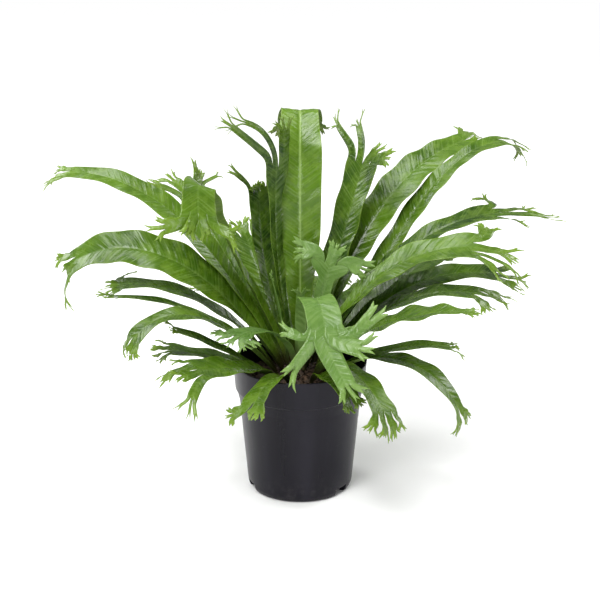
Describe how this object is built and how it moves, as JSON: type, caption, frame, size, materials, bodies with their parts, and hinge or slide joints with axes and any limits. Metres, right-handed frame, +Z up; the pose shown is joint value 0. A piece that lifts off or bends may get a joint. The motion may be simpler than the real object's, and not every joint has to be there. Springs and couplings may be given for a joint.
{
  "type": "potted fern",
  "caption": "Crested bird's-nest fern with arching strap fronds that fork at their tips, rising from a scaly crown in the soil of a tapered nursery pot.",
  "frame": {"origin": "centre of the pot's foot at the surface it stands on, which is also the middle of the bounding box's bottom", "axes": "+Z up the pot's axis, +X to the right and -Y towards the viewer when the longest fronds spread left and right"},
  "size_m": [0.5315, 0.3211, 0.4031],
  "materials": {
    "pot": "satin charcoal moulded plastic",
    "soil": "crumbly dark peat",
    "crown": "papery brown scales",
    "leaf": "smooth, softly glossy mid green",
    "young_leaf": "smooth, pale yellow-green"
  },
  "bodies": {
    "root": {"frond_upright": "leaf", "frond_left_6": "leaf", "frond_left_5": "leaf", "frond_right_1": "leaf", "frond_right_2": "leaf", "frond_right_3": "leaf", "frond_right_4": "leaf", "frond_right_5": "leaf", "frond_right_8": "leaf", "frond_right_9": "leaf", "frond_right_10": "leaf", "frond_right_6": "leaf", "frond_right_7": "leaf", "frond_front_3": "leaf", "frond_front_5": "young_leaf", "frond_front_2": "young_leaf", "frond_left_12": "young_leaf", "frond_left_11": "leaf", "frond_left_10": "leaf", "frond_left_8": "leaf", "frond_left_13": "leaf", "frond_left_7": "leaf", "frond_left_9": "leaf", "frond_left_2": "leaf", "frond_left_1": "leaf", "frond_left_3": "leaf", "frond_left_4": "leaf", "frond_front_1": "young_leaf", "frond_front_4": "young_leaf", "frond_young_1": "young_leaf", "frond_young_2": "young_leaf", "frond_middle_1": "leaf", "frond_middle_2": "leaf", "frond_back_1": "leaf", "frond_back_2": "leaf", "frond_back_3": "leaf", "frond_back_4": "leaf", "frond_back_5": "leaf", "pot": "pot", "soil": "soil", "crown": "crown"}
  },
  "joints": []
}
